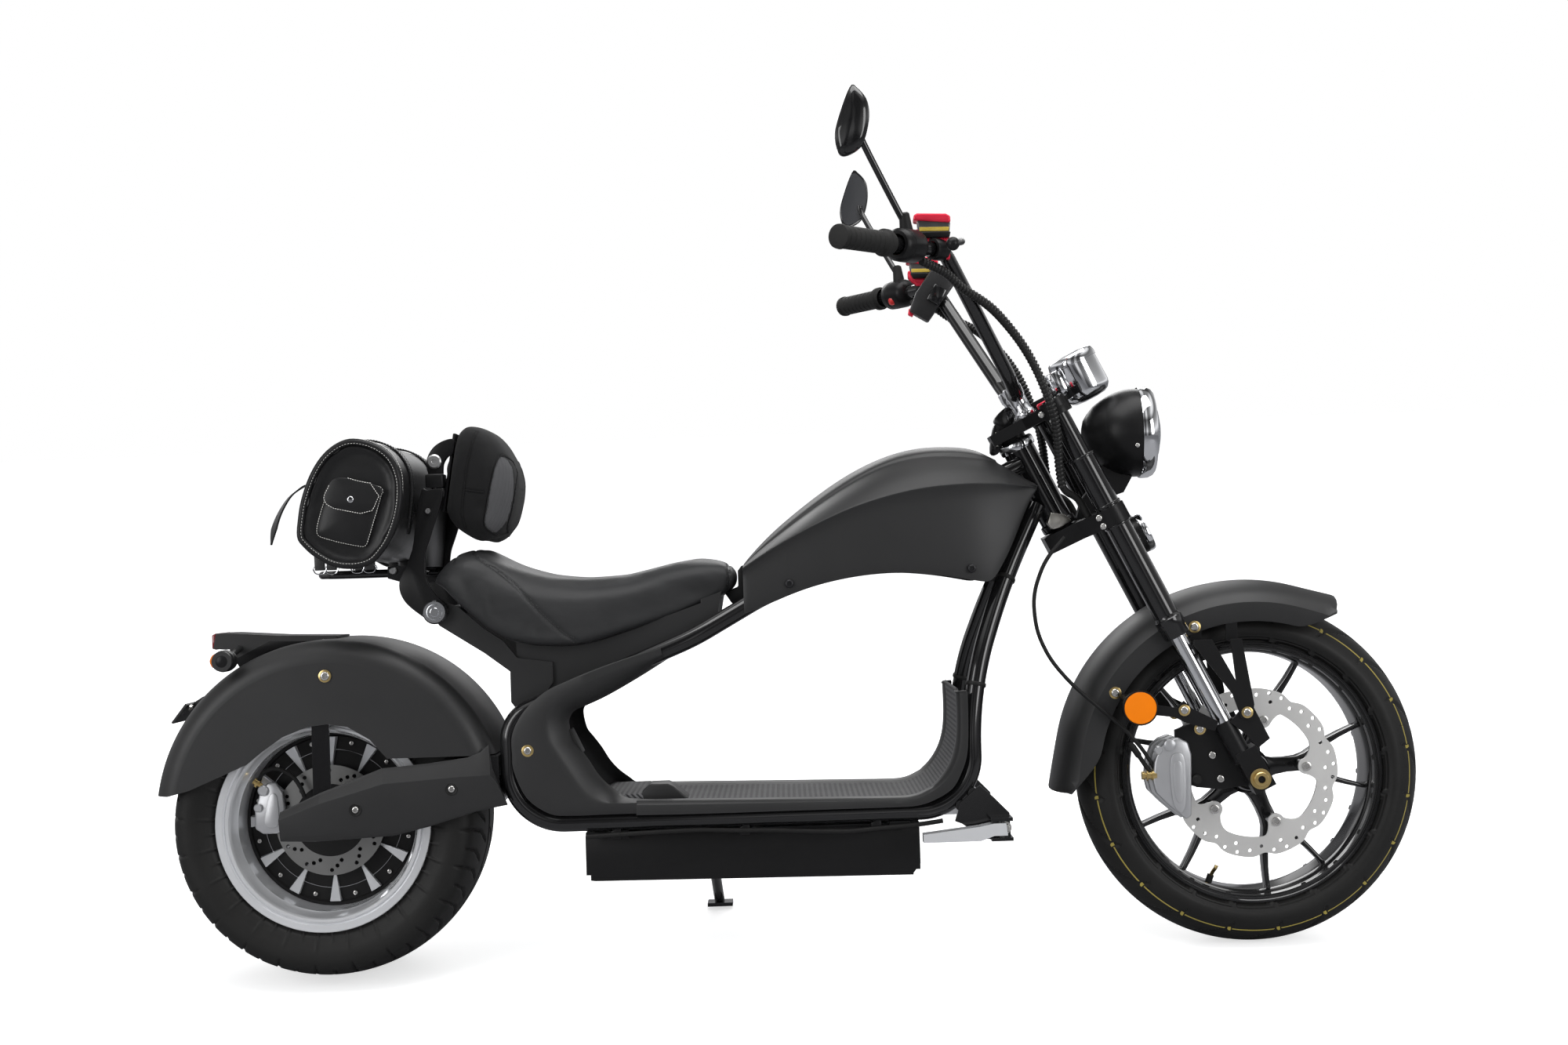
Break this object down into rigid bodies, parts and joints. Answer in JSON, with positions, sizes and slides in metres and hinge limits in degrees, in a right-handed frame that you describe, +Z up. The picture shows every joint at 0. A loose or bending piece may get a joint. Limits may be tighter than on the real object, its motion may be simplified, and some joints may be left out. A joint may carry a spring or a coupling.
{
  "type": "fat tire electric scooter",
  "caption": "Cruiser-style electric scooter with fat tyres, hub motor, fork, seat with backrest, roll bag and a side stand.",
  "frame": {"origin": "centre of the bounding box on the ground plane", "axes": "+X forward (direction of travel), +Y to the left, +Z up; the scooter leans to its left onto its side stand"},
  "size_m": [1.919, 0.8126, 1.3028],
  "materials": {
    "gloss_black_metal": "gloss",
    "satin_black_metal": "satin",
    "matte_black_plastic": "matte",
    "grey_mat": "textured",
    "black_leather": "stitched",
    "tyre": "matte",
    "aluminium_rim": "polished",
    "brushed_steel": "brushed",
    "chrome": "mirror",
    "cast_grey": "cast",
    "lens": "clear",
    "rubber": "matte",
    "mirror_glass": "gloss"
  },
  "bodies": {
    "frame": {"frame_loops": "gloss_black_metal", "frame_spine": "gloss_black_metal", "battery_box": "satin_black_metal", "floor_tray": "matte_black_plastic", "floor_mat": "grey_mat", "side_covers": "matte_black_plastic", "seat": "black_leather", "seat_mount": "satin_black_metal", "tank_shell": "matte_black_plastic", "backrest_post": "satin_black_metal", "backrest_pad": "black_leather", "luggage_rack": "satin_black_metal", "roll_bag": "black_leather", "swing_arm": "satin_black_metal", "swing_arm_covers": "matte_black_plastic", "rear_fender": "matte_black_plastic", "plate_and_lamps": "matte_black_plastic", "rear_caliper": "cast_grey", "underfloor_cables": "rubber"},
    "rear_wheel": {"rear_tyre": "tyre", "rear_rim": "aluminium_rim", "hub_motor": "satin_black_metal", "rear_brake_disc": "brushed_steel"},
    "steering": {"fork_yokes": "gloss_black_metal", "fork_tubes": "gloss_black_metal", "fork_sliders": "chrome", "fork_lugs": "satin_black_metal", "front_fender": "matte_black_plastic", "fender_stays": "satin_black_metal", "front_caliper": "cast_grey", "headlight_bucket": "satin_black_metal", "headlight_lens": "lens", "speedometer": "chrome", "horn": "chrome", "handlebar": "gloss_black_metal", "grips": "rubber", "bar_controls": "mirror_glass", "mirrors": "mirror_glass", "control_cables": "rubber"},
    "front_wheel": {"front_tyre": "tyre", "front_rim": "satin_black_metal", "front_brake_disc": "brushed_steel"},
    "side_stand": {"side_stand": "satin_black_metal"},
    "peg_left": {"peg_left": "brushed_steel"},
    "peg_right": {"peg_right": "brushed_steel"}
  },
  "joints": [
    {"name": "rear_wheel_spin", "type": "hinge", "parent": "frame", "child": "rear_wheel", "pos_m": [-0.71334, -0.11826, 0.239], "axis": [0, 0.9903, -0.1392], "continuous": true},
    {"name": "steering", "type": "hinge", "parent": "frame", "child": "steering", "pos_m": [0.36291, -0.04365, 0.76988], "axis": [-0.4363, 0.1252, 0.8911], "range_deg": [-32.3, 37.7]},
    {"name": "front_wheel_spin", "type": "hinge", "parent": "steering", "child": "front_wheel", "pos_m": [0.69664, -0.11872, 0.26157], "axis": [0.0424, 0.992, -0.1187], "continuous": true},
    {"name": "side_stand_fold", "type": "hinge", "parent": "frame", "child": "side_stand", "pos_m": [-0.13855, -0.00796, 0.13288], "axis": [0.0015, 0.848, 0.5299], "range_deg": [0, 90]},
    {"name": "peg_left_fold", "type": "hinge", "parent": "frame", "child": "peg_left", "pos_m": [0.29858, 0.02742, 0.18343], "axis": [0.0023, 0.1392, 0.9903], "range_deg": [-90, 0]},
    {"name": "peg_right_fold", "type": "hinge", "parent": "frame", "child": "peg_right", "pos_m": [0.29858, -0.27362, 0.22574], "axis": [0.0023, 0.1392, 0.9903], "range_deg": [0, 90]}
  ]
}
